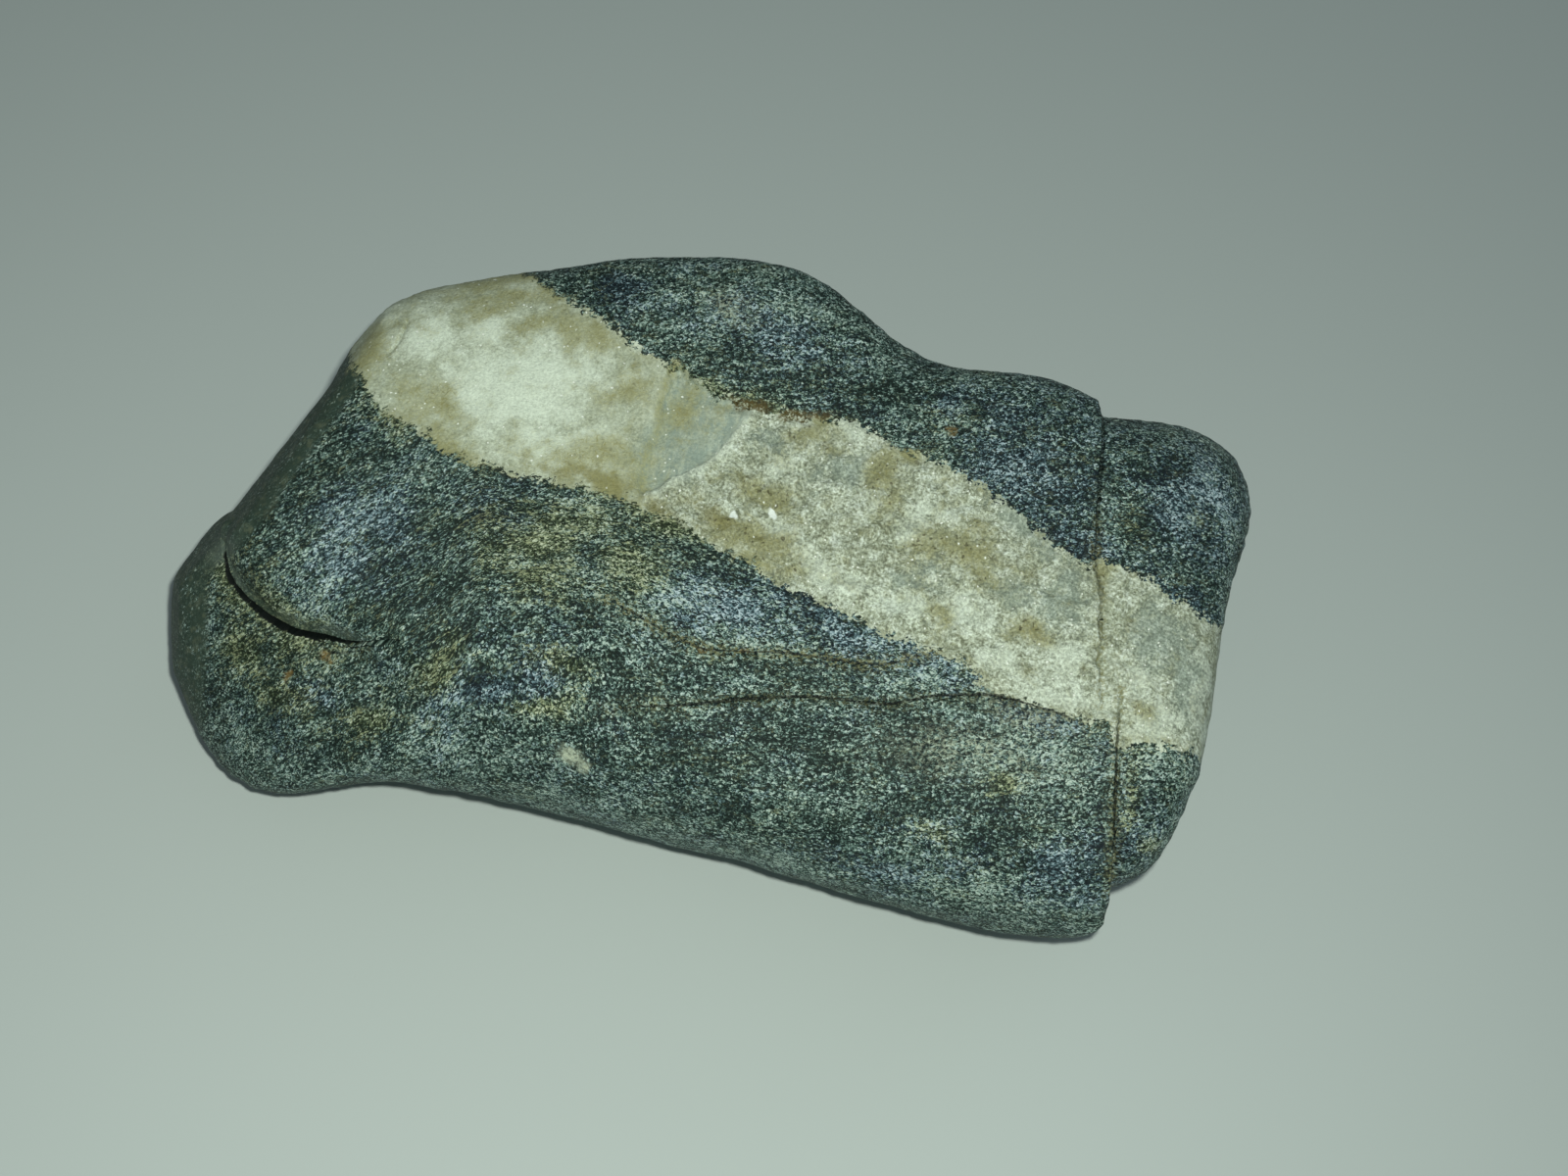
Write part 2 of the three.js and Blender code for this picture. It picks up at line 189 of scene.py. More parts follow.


# Cracks: the line each follows, half its width from one end of the line to the other, how deep it is, which
# way it runs in if not straight, and from end to end how dark it is and how much ochre stain lies along it
# Their dark is painted shade inside the cracks, wholly so in the gap under the nose.
cracks = {
    "underTheNose": {
        "line": [
            (-45.4, 6, 5.3), (-45.1, 3.9, 6.1), (-44.5, 2.1, 6.4), (-43.5, 0.8, 6.8), (-42.2, -0.4, 7.3),
            (-40.4, -1.7, 8.1), (-38.1, -2.8, 8.9), (-36.3, -3.2, 9.6), (-34.2, -3.5, 10.4),
            (-32, -3.9, 11.6), (-29.7, -3.8, 12.9), (-26.8, -3.7, 14.1),
        ],
        "widths": [0.08, 0.2, 0.23, 0.25, 0.28, 0.36, 0.37, 0.32, 0.24, 0.18, 0.13, 0.06],
        # the gap is painted black: painted shadow under the nose's overhang
        "depth": 1.8, "into": (0.45, 0.55, -0.7), "dark": [2.5], "stain": [0],
    },
    "joint": {
        "line": [
            (37.7, 18, 8.6), (37.2, 14.5, 11.4), (36.7, 10.7, 13), (36.3, 7.5, 14.3), (36, 4.1, 15.3),
            (36.3, 1, 16.4), (36.1, -3, 17.9), (35.7, -9.3, 20),
        ],
        "widths": [0.18, 0.18, 0.18, 0.14, 0.12, 0.14, 0.1, 0.05],
        "depth": 0.45,
        "dark": [0.7, 0.7, 0.7, 0.7, 0.5, 0.5, 0.35, 0.3], "stain": [0, 0, 0, 0.3, 0.8, 0.8, 0.8, 0.9],
    },
    "lowerJoint": {
        "line": [
            (37.7, -7.8, 19.4), (37.4, -10.6, 20), (36.9, -14, 21.2), (36.6, -19, 21.6), (36.6, -25.5, 19.4),
        ],
        "widths": [0.05, 0.12, 0.16, 0.22, 0.18],
        "depth": 0.45, "dark": [0.3, 0.75, 0.8, 0.85], "stain": [0.9, 0.8, 0.8, 0.8],
    },
    "upperCrack": {
        "line": [
            (-8.6, 0.4, 15.6), (-5.3, -1.4, 16.6), (0, -4.1, 17.9), (3.7, -4.5, 18.1), (8.2, -4.7, 18.2),
            (12.6, -5.3, 18.5), (17, -5.6, 18.8), (21.5, -4.5, 18.7),
        ],
        "widths": [0.06, 0.08, 0.1, 0.08, 0.1, 0.12, 0.1, 0.06],
        "depth": 0.2, "dark": [0.85], "stain": [0.8],
    },
    "lowerCrack": {
        "line": [
            (-8.3, -9.8, 18.2), (-4.8, -9.4, 18.6), (-1.6, -9.3, 19), (1.4, -9, 19.1), (4.4, -8.7, 19.3),
            (10.4, -8.5, 19.5), (16.5, -9.1, 19.9), (21.2, -8.4, 19.9), (26, -8.3, 20.2),
            (27.5, -8.6, 20.3), (31.4, -9.7, 20.9), (35.4, -11.2, 21.2),
        ],
        "widths": [0.06, 0.1, 0.13, 0.15, 0.13, 0.12, 0.12, 0.1, 0.08],
        "depth": 0.25, "dark": [1], "stain": [0.4],
    },
    "shortCrack": {
        "line": [(27.3, -14.7, 22), (29.4, -14.8, 22.2), (31.6, -14.6, 22.3)],
        "widths": [0.05, 0.08, 0.05],
        "depth": 0.15, "dark": [0.6], "stain": [0.1],
    },
    "toeCrack": {
        "line": [(-35.3, -4.2, 10), (-34.1, -4.8, 10.4), (-32.5, -4.8, 11), (-30.4, -4.5, 12.5)],
        "widths": [0.07, 0.12, 0.1, 0.05],
        "depth": 0.25, "dark": [0.8], "stain": [0.3],
    },
    "quartzNotch": {
        "line": [(-28.3, 26.9, 3.6), (-28.9, 24.8, 4.4), (-30.1, 23.2, 4.6)],
        "widths": [0.1, 0.2, 0.1],
        "depth": 0.35, "dark": [0.2], "stain": [0.6],
    },
}


def spread(values, share):  # the value at a share of the way along a list of values
    return np.interp(share, np.linspace(0, 1, len(values)), values)


crackMarks = {
    "into": (0, 0, -1),  # straight in from the broad side
    "closing": 0.08,  # the share of its length over which a crack closes at each end
    "darkReach": (0.2, 0.5),  # how far past its sides its dark fades out, in mm
    "stainReach": 0.6,  # and how far its stain goes
    "otherSide": 4,  # a crack this far off in depth is on another side of the stone
}


def nearCracks(places):  # how every place lies to its nearest crack, and what that crack is like there
    near = {name: np.zeros(len(places)) for name in ("depth", "dark", "stain")}
    near["away"] = np.full(len(places), 99.0)  # in mm
    near["across"] = np.full(len(places), 99.0)  # in mm too, below 0 on its lower side
    near["width"] = np.ones(len(places))  # half the crack's width
    near["into"] = np.zeros((len(places), 3))
    for crack in cracks.values():
        line = smoothLine(crack["line"])
        far = distanceTo(places, line)[0]
        away, along = distanceTo(places[:, :2], line[:, :2])
        away = np.where(far < crackMarks["otherSide"], away, far)
        side = np.where(places[:, 1] > spread(line[:, 1], along), 1, -1)
        if abs(line[-1, 1] - line[0, 1]) > abs(line[-1, 0] - line[0, 0]):
            side = np.where(places[:, 0] > spread(line[:, 0], along), 1, -1)
        width = spread(crack["widths"], along)
        fading = soften(np.minimum(along, 1 - along), 0, crackMarks["closing"])
        closer = away < near["away"]
        near["away"][closer] = away[closer]
        near["across"][closer] = (side * away)[closer]
        near["width"][closer] = width[closer]
        near["depth"][closer] = crack["depth"] * fading[closer]
        darkNear, darkFar = crackMarks["darkReach"]
        dark = spread(crack["dark"], along) * fading * soften(away, width + darkFar, width + darkNear)
        near["dark"][closer] = dark[closer]
        near["into"][closer] = crack.get("into", crackMarks["into"])
        stain = spread(crack["stain"], along) * np.exp(-((away / crackMarks["stainReach"]) ** 2))
        near["stain"] = np.maximum(near["stain"], stain)
    return near


# The beds of the mudstone, which rise over the toe and run level to the right

beds = {
    "archPlace": (-13, 0), "archReach": (13, 9), "archHeight": 3.4,
    "fall": 0.45, "fallFrom": -20,
}


def bedding(places):
    x, y, z = places.T
    rise = beds["archHeight"] * patch(places, *beds["archPlace"], *beds["archReach"])
    left = np.maximum(0, beds["fallFrom"] - x)
    return np.column_stack([x, y - rise + beds["fall"] * left, z])


# The two flat sides at the left end: the way each looks, by its turn in plan and its rise above level, and
# how far it lies from the stone's middle. The lip is the smooth edge of the nose, just above its gap.
flatSides = {
    "nose": {"turn": 172, "rise": 37, "away": 39, "margin": 1.6, "fade": 0.7},
    "toe": {"turn": 206, "rise": 19, "away": 47.8, "margin": 2.6, "fade": 0.7},
}
noseLip = {
    "smoothness": 0.7,
    "fromGap": (0.1, 0.4),  # where it begins above the gap, in mm
    "toRock": (1.2, 2.1),  # and where it gives way to the rock
}


def onFlatSides(places):  # 1 on the flat sides and on the smooth lip of the nose, 0 off them
    lip = smoothLine(cracks["underTheNose"]["line"][1:-2])
    away = distanceTo(places, lip)[0]
    aboveGap = soften(-sideOf(places, lip[:, :2]), *noseLip["fromGap"])
    share = noseLip["smoothness"] * aboveGap * soften(away, *reversed(noseLip["toRock"]))
    toBroadSide = broadSideMatrix().to_3x3().inverted()
    for side in flatSides.values():
        turn = math.radians(side["turn"])
        rise = math.radians(side["rise"])
        outward = Vector((math.cos(rise) * math.cos(turn), math.cos(rise) * math.sin(turn), math.sin(rise)))
        reach = places @ np.array(toBroadSide @ outward) - side["away"]
        share = np.maximum(share, soften(reach, -side["margin"], side["fade"] - side["margin"]))
    return share


# Making the stone

def selectOnly(piece):
    bpy.ops.object.select_all(action="DESELECT")
    piece.select_set(True)
    bpy.context.view_layer.objects.active = piece


def applyModifier(piece, kind, **settings):
    modifier = piece.modifiers.new(kind.title(), kind)
    for name, value in settings.items():
        setattr(modifier, name, value)
    selectOnly(piece)
    bpy.ops.object.modifier_apply(modifier=modifier.name)


def weigh(piece, name, weights):  # a vertex group from one weight for each vertex
    group = piece.vertex_groups.new(name=name)
    for index in np.nonzero(weights > 0.004)[0]:
        group.add([int(index)], float(weights[index]), "REPLACE")
    return group.name


def reliefTexture(name, kind, size, **settings):
    texture = bpy.data.textures.new(name, kind)
    texture.noise_scale = size * mm
    for setting, value in settings.items():
        setattr(texture, setting, value)
    return texture


cobble = {
    "voxel": 0.38,
    "doubles": 0.002,  # corners of the solid that are nearer than this are one, in mm
    "triangles": 190000,
    "smoothing": 7,  # how often the new faces are evened out
    "leastSmoothing": 0.3,  # the share of it that is left beside the cracks
    "smoothingReach": (0.8, 3),  # and how far from them it comes back, in mm
    "crackReach": 0.9,  # how far the small faces reach from a crack, in mm
    "deepCrack": 0.4,  # a crack from this depth on has the smallest faces
    "leastReach": 0.22,  # half the width of the finest grooves
    "bottom": 0.45,  # the share of a groove's width that lies at its full depth
    "plug": 1.25,  # radius of the balls that fill the gap under the nose, and how far in they lie
    "toeRoughness": [(-40, -1, 4, 4, 30), (-37, -6, 3.5, 5, 0), (-31, -8, 4, 3, 20)],
}


def copyOfNode():
    selectOnly(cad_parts["mudstone"])
    bpy.ops.object.duplicate()
    piece = bpy.context.view_layer.objects.active
    piece.name = "cobble"
    piece.data.name = "cobble"
    for key in list(piece.keys()):
        del piece[key]
    piece.parent = None
    piece.data.materials.clear()
    bpy.ops.object.mode_set(mode="EDIT")
    bpy.ops.mesh.select_all(action="SELECT")
    bpy.ops.mesh.remove_doubles(threshold=cobble["doubles"] * mm)
    bpy.ops.mesh.normals_make_consistent(inside=False)
    bpy.ops.object.mode_set(mode="OBJECT")
    return piece


def plugGap(piece):  # fills the solid's own gap under the nose, which is cut again when the faces are finer
    gap = cracks["underTheNose"]
    inward = Vector(gap["into"]) * cobble["plug"]
    balls = []
    for place in smoothLine(gap["line"], 3):
        middle = broadSideMatrix() @ ((Vector(place) + inward) * mm)
        bpy.ops.mesh.primitive_ico_sphere_add(subdivisions=2, radius=cobble["plug"] * mm, location=middle)
        balls.append(bpy.context.object)
    selectOnly(piece)
    for ball in balls:
        ball.select_set(True)
    bpy.ops.object.join()


def roundedCopy():
    piece = copyOfNode()
    applyModifier(piece, "SUBSURF", levels=1, render_levels=1)
    plugGap(piece)
    applyModifier(piece, "REMESH", mode="VOXEL", voxel_size=cobble["voxel"] * mm)
    away = nearCracks(placesOf(piece))["away"]
    least = cobble["leastSmoothing"]
    group = weigh(piece, "rounding", least + (1 - least) * soften(away, *cobble["smoothingReach"]))
    applyModifier(piece, "SMOOTH", factor=0.5, iterations=cobble["smoothing"], vertex_group=group)
    piece.vertex_groups.clear()
    return piece


def refineNearCracks(piece, least):  # smaller faces along the cracks that are at least so deep
    near = nearCracks(placesOf(piece))
    close = (near["away"] < cobble["crackReach"]) & (near["depth"] > least)
    selectOnly(piece)
    bpy.ops.object.mode_set(mode="EDIT")
    bpy.ops.mesh.select_mode(type="VERT")
    bpy.ops.mesh.select_all(action="DESELECT")
    bpy.ops.object.mode_set(mode="OBJECT")
    piece.data.vertices.foreach_set("select", close)
    bpy.ops.object.mode_set(mode="EDIT")
    bpy.ops.mesh.subdivide(number_cuts=1)
    bpy.ops.object.mode_set(mode="OBJECT")


def movePoints(piece, places):  # puts every vertex at its place, in mm on the broad side
    outward = np.array(broadSideMatrix())
    moved = places * mm @ outward[:3, :3].T + outward[:3, 3]
    piece.data.vertices.foreach_set("co", moved.ravel())
    piece.data.update()


def pushOut(piece, weights, height, texture=None):  # moves the surface out by height mm where weighted
    group = weigh(piece, "push", weights)
    applyModifier(
        piece, "DISPLACE", direction="NORMAL", texture=texture, texture_coords="LOCAL",
        mid_level=0.5 if texture else 0, strength=height * mm, vertex_group=group,
    )
    piece.vertex_groups.clear()


# The relief: how high each kind stands out and how long its lumps are, in mm. The size of a ridge is given
# along the beds, across them and out of the broad side.
relief = {
    "swell": {"height": 0.35, "size": 5},
    "grain": {"height": 0.2, "size": 0.9},
    "ridges": {"height": 0.15, "size": (12, 1.1, 8), "seed": 7.7, "from": (-0.6, 0.6)},
    "pits": {"height": 1.1, "size": 1.2, "front": (-2, 4), "fromCracks": (0.6, 1.8)},  # only on the toe
    "crystals": {"height": 0.8, "size": 1.5},
    "crumbs": {"height": 0.5, "milkyHeight": 0.16, "size": 0.6},
    "roughRim": {"height": 0.45, "past": 0.35, "width": 0.5},
    "glassyHollow": {"height": -0.8, "rise": 0.6, "over": (0, 6)},  # it rises again to the right
    "flatSides": {"loss": 0.75},  # the share of the rock's relief that they lose
    "smoothCorner": {"loss": 0.75, "oval": (32, -7, 6, 3.5, -15)},  # the rough quartz is smooth again there
    "smoothHeel": {"loss": 0.85, "over": (39.5, 42.5)},  # and over the heel
}


def roughRim(places):  # the raised edge where the rough quartz begins
    return stepRim(places, "roughStart", relief["roughRim"]["past"], relief["roughRim"]["width"])


def shapeRelief(piece):
    places = placesOf(piece)
    milky, glassy, rough = quartzShares(places)
    rock = 1 - milky - glassy - rough
    calm = 1 - relief["flatSides"]["loss"] * onFlatSides(places)
    near = nearCracks(places)
    print("relief: beds, grains and pits of the rock")
    swell = reliefTexture("swell", "CLOUDS", relief["swell"]["size"], noise_depth=2)
    pushOut(piece, np.ones(len(places)), relief["swell"]["height"], swell)
    grain = reliefTexture("grain", "CLOUDS", relief["grain"]["size"], noise_depth=2)
    pushOut(piece, rock * calm, relief["grain"]["height"], grain)
    ridges = unevenness(bedding(places) / np.array(relief["ridges"]["size"]), 1, relief["ridges"]["seed"])
    pushOut(piece, rock * calm * soften(ridges, *relief["ridges"]["from"]), relief["ridges"]["height"])
    toe = np.max([patch(places, *oval) for oval in cobble["toeRoughness"]], axis=0)
    toe = toe * calm * soften(places[:, 2], *relief["pits"]["front"])
    pits = reliefTexture("pits", "CLOUDS", relief["pits"]["size"], noise_depth=4)
    pushOut(piece, toe * soften(near["away"], *relief["pits"]["fromCracks"]), relief["pits"]["height"], pits)
    print("relief: crystals of the quartz")
    corner, heel, hollow = relief["smoothCorner"], relief["smoothHeel"], relief["glassyHollow"]
    rough = rough * (1 - corner["loss"] * patch(places, *corner["oval"]))
    rough = rough * (1 - heel["loss"] * soften(places[:, 0], *heel["over"]))
    crystals = reliefTexture("crystals", "VORONOI", relief["crystals"]["size"], distance_metric="DISTANCE")
    pushOut(piece, rough, relief["crystals"]["height"], crystals)
    crumbs = reliefTexture("crumbs", "CLOUDS", relief["crumbs"]["size"], noise_depth=2)
    pushOut(piece, rough, relief["crumbs"]["height"], crumbs)
    pushOut(piece, milky, relief["crumbs"]["milkyHeight"], crumbs)
    pushOut(piece, (rough + glassy) * roughRim(places), relief["roughRim"]["height"])
    slant = 1 - hollow["rise"] * soften(rightOf(places, quartzSteps["smoothEnd"]), *hollow["over"])
    pushOut(piece, glassy * slant, hollow["height"])
    print("relief: cracks")
    reach = np.maximum(near["width"], cobble["leastReach"])
    opened = near["depth"] * (1 - soften(near["away"], cobble["bottom"] * reach, reach))
    movePoints(piece, placesOf(piece) + opened[:, None] * near["into"])


def keepInBox(piece):  # nothing stands out of the box of the CAD solid, or below the surface it rests on
    flat = np.empty(3 * len(piece.data.vertices))
    piece.data.vertices.foreach_get("co", flat)
    low, high = (np.array(corner) for corner in cadBox)
    piece.data.vertices.foreach_set("co", np.clip(flat.reshape(-1, 3), low, high).ravel())
    piece.data.update()


def makeCobble():
    piece = roundedCopy()
    print("cobble remeshed:", len(piece.data.vertices), "vertices")
    refineNearCracks(piece, 0)
    refineNearCracks(piece, cobble["deepCrack"])
    paintMasks(piece)
    shapeRelief(piece)
    bpy.ops.object.mode_set(mode="EDIT")
    bpy.ops.mesh.select_all(action="SELECT")
    bpy.ops.mesh.quads_convert_to_tris()
    bpy.ops.object.mode_set(mode="OBJECT")
    triangles = len(piece.data.polygons)
    if triangles > cobble["triangles"]:
        applyModifier(piece, "DECIMATE", ratio=cobble["triangles"] / triangles)
    keepInBox(piece)
    selectOnly(piece)
    bpy.ops.object.shade_smooth()
    print("cobble thinned:", triangles, "to", len(piece.data.polygons), "triangles")
    return piece


def store(piece, name, values):
    kind = "FLOAT_VECTOR" if values.ndim == 2 else "FLOAT"
    attribute = piece.data.attributes.new(name, kind, "POINT")
    attribute.data.foreach_set("vector" if values.ndim == 2 else "value", values.astype(np.float32).ravel())


# Patches of colour and tone: across, up, width and height of each, and its turn if it has one
tints = {
    "olive": [
        (-14, 6, 8, 3.6, 12), (-13.5, 1.8, 4, 2.5), (-23.5, -5.6, 4.4, 2.2, 30), (-40, -1, 4, 5, 40),
        (-37, -3.5, 4, 3, 20), (-42.5, -4.5, 3, 3.5), (-39, -9, 3, 2), (-31, -11, 4, 2, 10),
        (-29, 18, 3.5, 2.5, -40), (2, 19.5, 6, 1.5, -15), (38.2, -16, 1, 4), (-3, 7.6, 5, 2.4, -30),
        (-10, 10.9, 4, 1.4, -10), (-12.5, -5.4, 4, 1.6, -10), (-14, -9.4, 3.5, 1.4, 5),
        (-7, 3.6, 4.4, 2.2, -10), (-44.5, 1.5, 2.5, 5, 20), (27.2, -16.4, 1.6, 1.2),
        (20.6, -20.3, 1.8, 1.2), (39.3, -21.5, 1.5, 1.5),
    ],
    "blue": [
        (30, 12, 7, 8, -35), (33, 6, 5, 3, -35), (43, 0.5, 4, 1.6, -25), (23, 18, 2, 2), (45, 9, 6, 6),
        (2, -0.5, 5, 2.5, -10), (12, -2.5, 7, 2.2, -28), (22, -5.8, 8, 1.3, -28), (30.5, -10, 4, 1.2, -20),
        (-36, -8.6, 2.6, 1.4), (-19.5, 8.7, 3.6, 2.2), (-19.5, -7.6, 5, 1.4), (-24, -10, 1.5, 3.5),
        (21.5, -20.5, 2, 1.6), (6, 6.2, 3, 1.2, -30), (16, -24, 5, 1.5, -10), (24, -23, 4, 1.6),
        (-8, 30, 3, 2), (6, 25, 8, 3, -30), (-31, 6, 5, 5, 30), (-14, -6, 3, 3), (33, -23, 5, 4),
        (38.8, -21, 1.5, 2),
    ],
    # partly the rock's own lighter tone, partly painted light: lighter patches on the rims and the lower
    # edge, where the light falls
    "light": [
        (-9.5, 8.4, 3, 2, -10), (0, -0.2, 7, 2, -15), (-4, -0.8, 6, 1.6, -5), (-1, -1.8, 3.5, 1.6, -10),
        (17, -4, 5, 1.8, -30), (22, -7.8, 2.5, 1.2, -10), (31, -12.8, 5, 2, -10), (28, -14.5, 4, 1.6),
        (21.3, -8.9, 3.4, 1), (33, -15, 4, 3), (34.4, -17.5, 2, 2.5), (-5.5, -2.2, 6.5, 1.1, -30),
        (0.2, 26, 2.4, 2.4, -20), (7.8, 27, 3, 2.5), (6.5, 24.2, 1.5, 1.5), (9, -23.8, 8, 1.2, -14),
        (25, -25.5, 9, 2.2, -10), (-5, -20.3, 5.5, 1.1, -8), (5.8, -14.5, 2, 1.3), (35.4, -27.5, 2, 2.5),
        (40.6, -21.5, 1.4, 2), (22, -21.4, 2, 2.5), (-23, -13, 4, 2.4, 10), (-27.3, -6.2, 2.5, 1.6),
        (-22, -8, 2, 2), (-14.5, -9.5, 3, 2.4), (-10, -18.5, 4, 1, -10), (-6.4, -11.3, 3, 1.5),
        (2.8, -8.9, 2.2, 0.9), (-36, 1, 3, 1.6, -30), (-32.4, 5, 2.4, 4, -15), (-21, 5, 1.8, 1.2),
        (-21.5, 12.6, 2, 1.2, -20), (-36.8, -0.9, 6.5, 1.1, -25), (-45, 3.8, 2, 2, 45),
        (-43.5, 2.2, 1.6, 1.2, -40), (47, 3.5, 1.3, 2.5), (-39, -10.5, 0.9, 3), (24.2, 18, 1.8, 1),
        (27.3, 15.3, 1.4, 1.2), (33, 17.1, 2.6, 1.1, -5), (33.5, 6.9, 1.5, 1.2), (44, 8, 1.6, 2.2),
        (47.2, 12, 2.2, 4, -20), (47.8, 8, 1.5, 6, 5), (42.5, -18, 1.5, 5, -20), (41.5, -13, 3, 1.5),
    ],
    # partly the rock's own darker tone, partly painted shade: the valley under the lump, the band where the
    # nose's front turns down and other hollows
    "shade": [
        (-43, 3, 4, 8, -20), (-34.5, 19, 3, 4, -30), (-37, 9.5, 2.5, 5, -30), (-31, 13.6, 5, 1.8, -20),
        (-24.5, 5, 11, 3, 27), (-29.5, -1, 5, 2, 15), (-23.7, 0, 5.5, 3, 5), (-17, 11.2, 6, 1.6, -10),
        (-8, 10.4, 3, 2), (-9.5, 30, 4, 2.5), (2.6, 24, 2.6, 2.6), (9.6, 18.4, 3, 1.3, -10),
        (12, 19.5, 9, 2.8, -8), (29, 16.5, 9, 2.5, -5), (28, 8.6, 3, 1.5, -30), (41.5, 12.5, 3, 2),
        (46.7, 6.2, 1.3, 2.2), (40.6, 7, 2, 3), (35, 13.5, 1.8, 3), (33, 6, 3, 3), (46, 2.5, 2, 2.5),
        (28.7, -9.6, 3.6, 1.4, -20), (20.5, -12, 4, 1.6), (8, -6.6, 4.5, 0.9), (3, -17.4, 2, 1.5),
        (18.5, -14, 3.5, 4), (17, -19, 2, 2.5), (26, -22.5, 4, 2), (-1, -13, 8, 2.2, -8),
        (-1, -17.4, 2.6, 1.5), (3.4, -11.2, 3, 1.5), (8, -12, 6, 1.5), (-6.5, -7.8, 5, 1.2),
        (36, -20.5, 1.6, 5), (39.3, -16.5, 1.8, 2), (-40, -7, 3, 6, 10), (-23.5, -3.6, 5, 3, 30),
        (-30, -6.4, 2.6, 1.2), (-26.5, 0.6, 3.5, 1.8, 20), (-33, -13, 6, 1.6, 5), (-8, -12.4, 6, 1.3, -5),
        (6.5, -10.8, 3.5, 1.1, 22), (-18, -6.4, 2.6, 1.4), (-20, 9.3, 2, 1.4), (-39.8, 6, 2.6, 1.5),
        (-34.5, 13, 3, 2, -20), (-44.5, -5.5, 3, 1.8), (-43, -10.5, 2.5, 1.5), (2.5, 20.8, 4, 1.2),
        (14.5, 19, 3.5, 3), (12.8, -22, 4, 1.5), (27, -19, 3, 2.4, 20), (-4.6, 6, 2.4, 1.6, -20),
        (1, 3.6, 3.6, 1.4, -20), (-9.4, -2, 2, 1.2, -20), (9.8, -0.2, 2.4, 1.4), (-46, -9.5, 2, 3),
    ],
    "chip": [(-11.3, -13.9, 1.4, 0.75, -25), (-10.2, -15, 0.5, 0.5)],
    "pale": [
        (25, -13.3, 7, 2, -4), (-11.2, -14.1, 1.3, 0.8, -20), (29.5, -10.5, 4, 1.3, -15),
        (3, 27.5, 2, 1, -30),
    ],
    "tan": [
        (-25.4, 18.4, 3.6, 2.3, -20), (-22.8, 14.4, 4.5, 1.1, -32), (17, 8.9, 1, 1.6, -20),
        (-7.4, 19.6, 3.4, 1.8, 10), (-1.8, 18, 2, 1.4, -20), (-10.4, 13.4, 6, 2, -5), (6, 9.8, 3, 1.5, -20),
        (-30, 14.6, 2.5, 1.6, -30), (-14.4, 26.2, 2.6, 1.3), (-18, 29, 5, 1.2, 15),
        (-12.7, 25.4, 3, 1.3, -25), (-10, 24.4, 2.6, 1.2, -30), (-32, 24, 2.4, 3.4, -20),
        (5.4, 5, 4.5, 1.8, -30), (10, 15.5, 2.6, 1.2), (16.9, 11.7, 1.2, 2.8, -10), (19.3, 13.2, 1.8, 1),
        (24, 4.8, 3.2, 2.2, -30), (20.6, 5, 2, 1.4), (25.5, 2.2, 2.6, 1.3, -30), (22.2, -1.6, 1.4, 1.8, 30),
        (29.5, -3, 2, 1.2, -20), (36.7, 3.4, 0.9, 1.6), (39.8, -9.8, 1.5, 1.3), (-19, 32, 8, 1.6, 14),
        (2.2, 6.8, 2, 1.3), (-5.2, 9.7, 1.2, 0.9, -20), (-7, 11, 3, 1.4, -10),
    ],
    "amber": [
        (-8.8, 10.9, 3.4, 1, -18), (-12.2, 12.1, 3.4, 0.9, -12), (-4, 8.9, 1.6, 1.1, -25),
        (1.5, 7.9, 3, 0.8, -28),
    ],
    "milk": [
        (-17, 20, 9, 5.5, 8), (-13, 14.5, 6, 2.4), (31.5, -8, 5, 2, -15), (26.8, -5, 2.6, 1.6, -20),
        (21, 8.2, 2.8, 1.5, 25), (24.6, -1, 3, 1.4, -30), (-26, 25, 3, 3), (39.5, -6.5, 1.4, 1.6),
        (12, 2, 5, 1.8, -28), (40.8, -10.6, 2.6, 2.8), (2, 13.4, 2, 1.2, -10), (7.5, 12, 1.6, 1),
        (14.4, 16, 2, 1, -10), (33, -5, 3, 2), (7, 6.2, 1.1, 1.5), (19.5, 6.1, 2.8, 1.5, -10),
        (19.3, -0.4, 3, 1.8, -20), (-20.5, 26, 2.4, 2), (-6.4, 20.8, 1.6, 1.3), (-6.4, 25, 2, 1, -20),
        (39.8, -12.4, 2, 1.2), (35.8, -10, 1.2, 3), (45.5, -8, 1.2, 5, -5),
    ],
    "glass": [
        (-0.8, 15, 2.6, 3.4, -25), (30.5, 6, 5, 1.2, -38), (20.1, 2.4, 2.6, 1, -10), (13, 12.3, 3, 2),
        (7, 15, 2, 1.6), (28.5, 0.3, 3, 1.2, -20), (33, 0, 2.4, 2.4), (41.6, -3, 2.6, 3),
        (43.8, -7, 1.6, 5), (-4.6, 14, 1.6, 3, -10),
    ],
    "rust": [
        (23.2, 15.6, 0.55, 0.5), (0.5, -4.3, 0.5, 0.25), (4.3, -4.5, 0.45, 0.25), (-34.8, -5.1, 0.5, 0.55),
        (-34.1, -5.6, 0.4, 0.3), (-38.6, -7, 0.35, 0.8, -20),
    ],
    "umber": [(9.5, 17.1, 3, 0.5, -2), (4.5, 18.3, 2.5, 0.6, -12)],
    "whiteDots": [(3.1, 7.9, 0.55, 0.5), (6.7, 8.1, 0.55, 0.65, 30)],
}


tintEdges = {
    "broad": (3, 1.3), "fine": (0.9, 0.5),  # how long and how high their bends are, in mm
    "fineOnes": ("rust", "umber", "chip", "whiteDots"),
    "towardsBack": (-13, -5),  # where the patches end, on the way round to the back
}


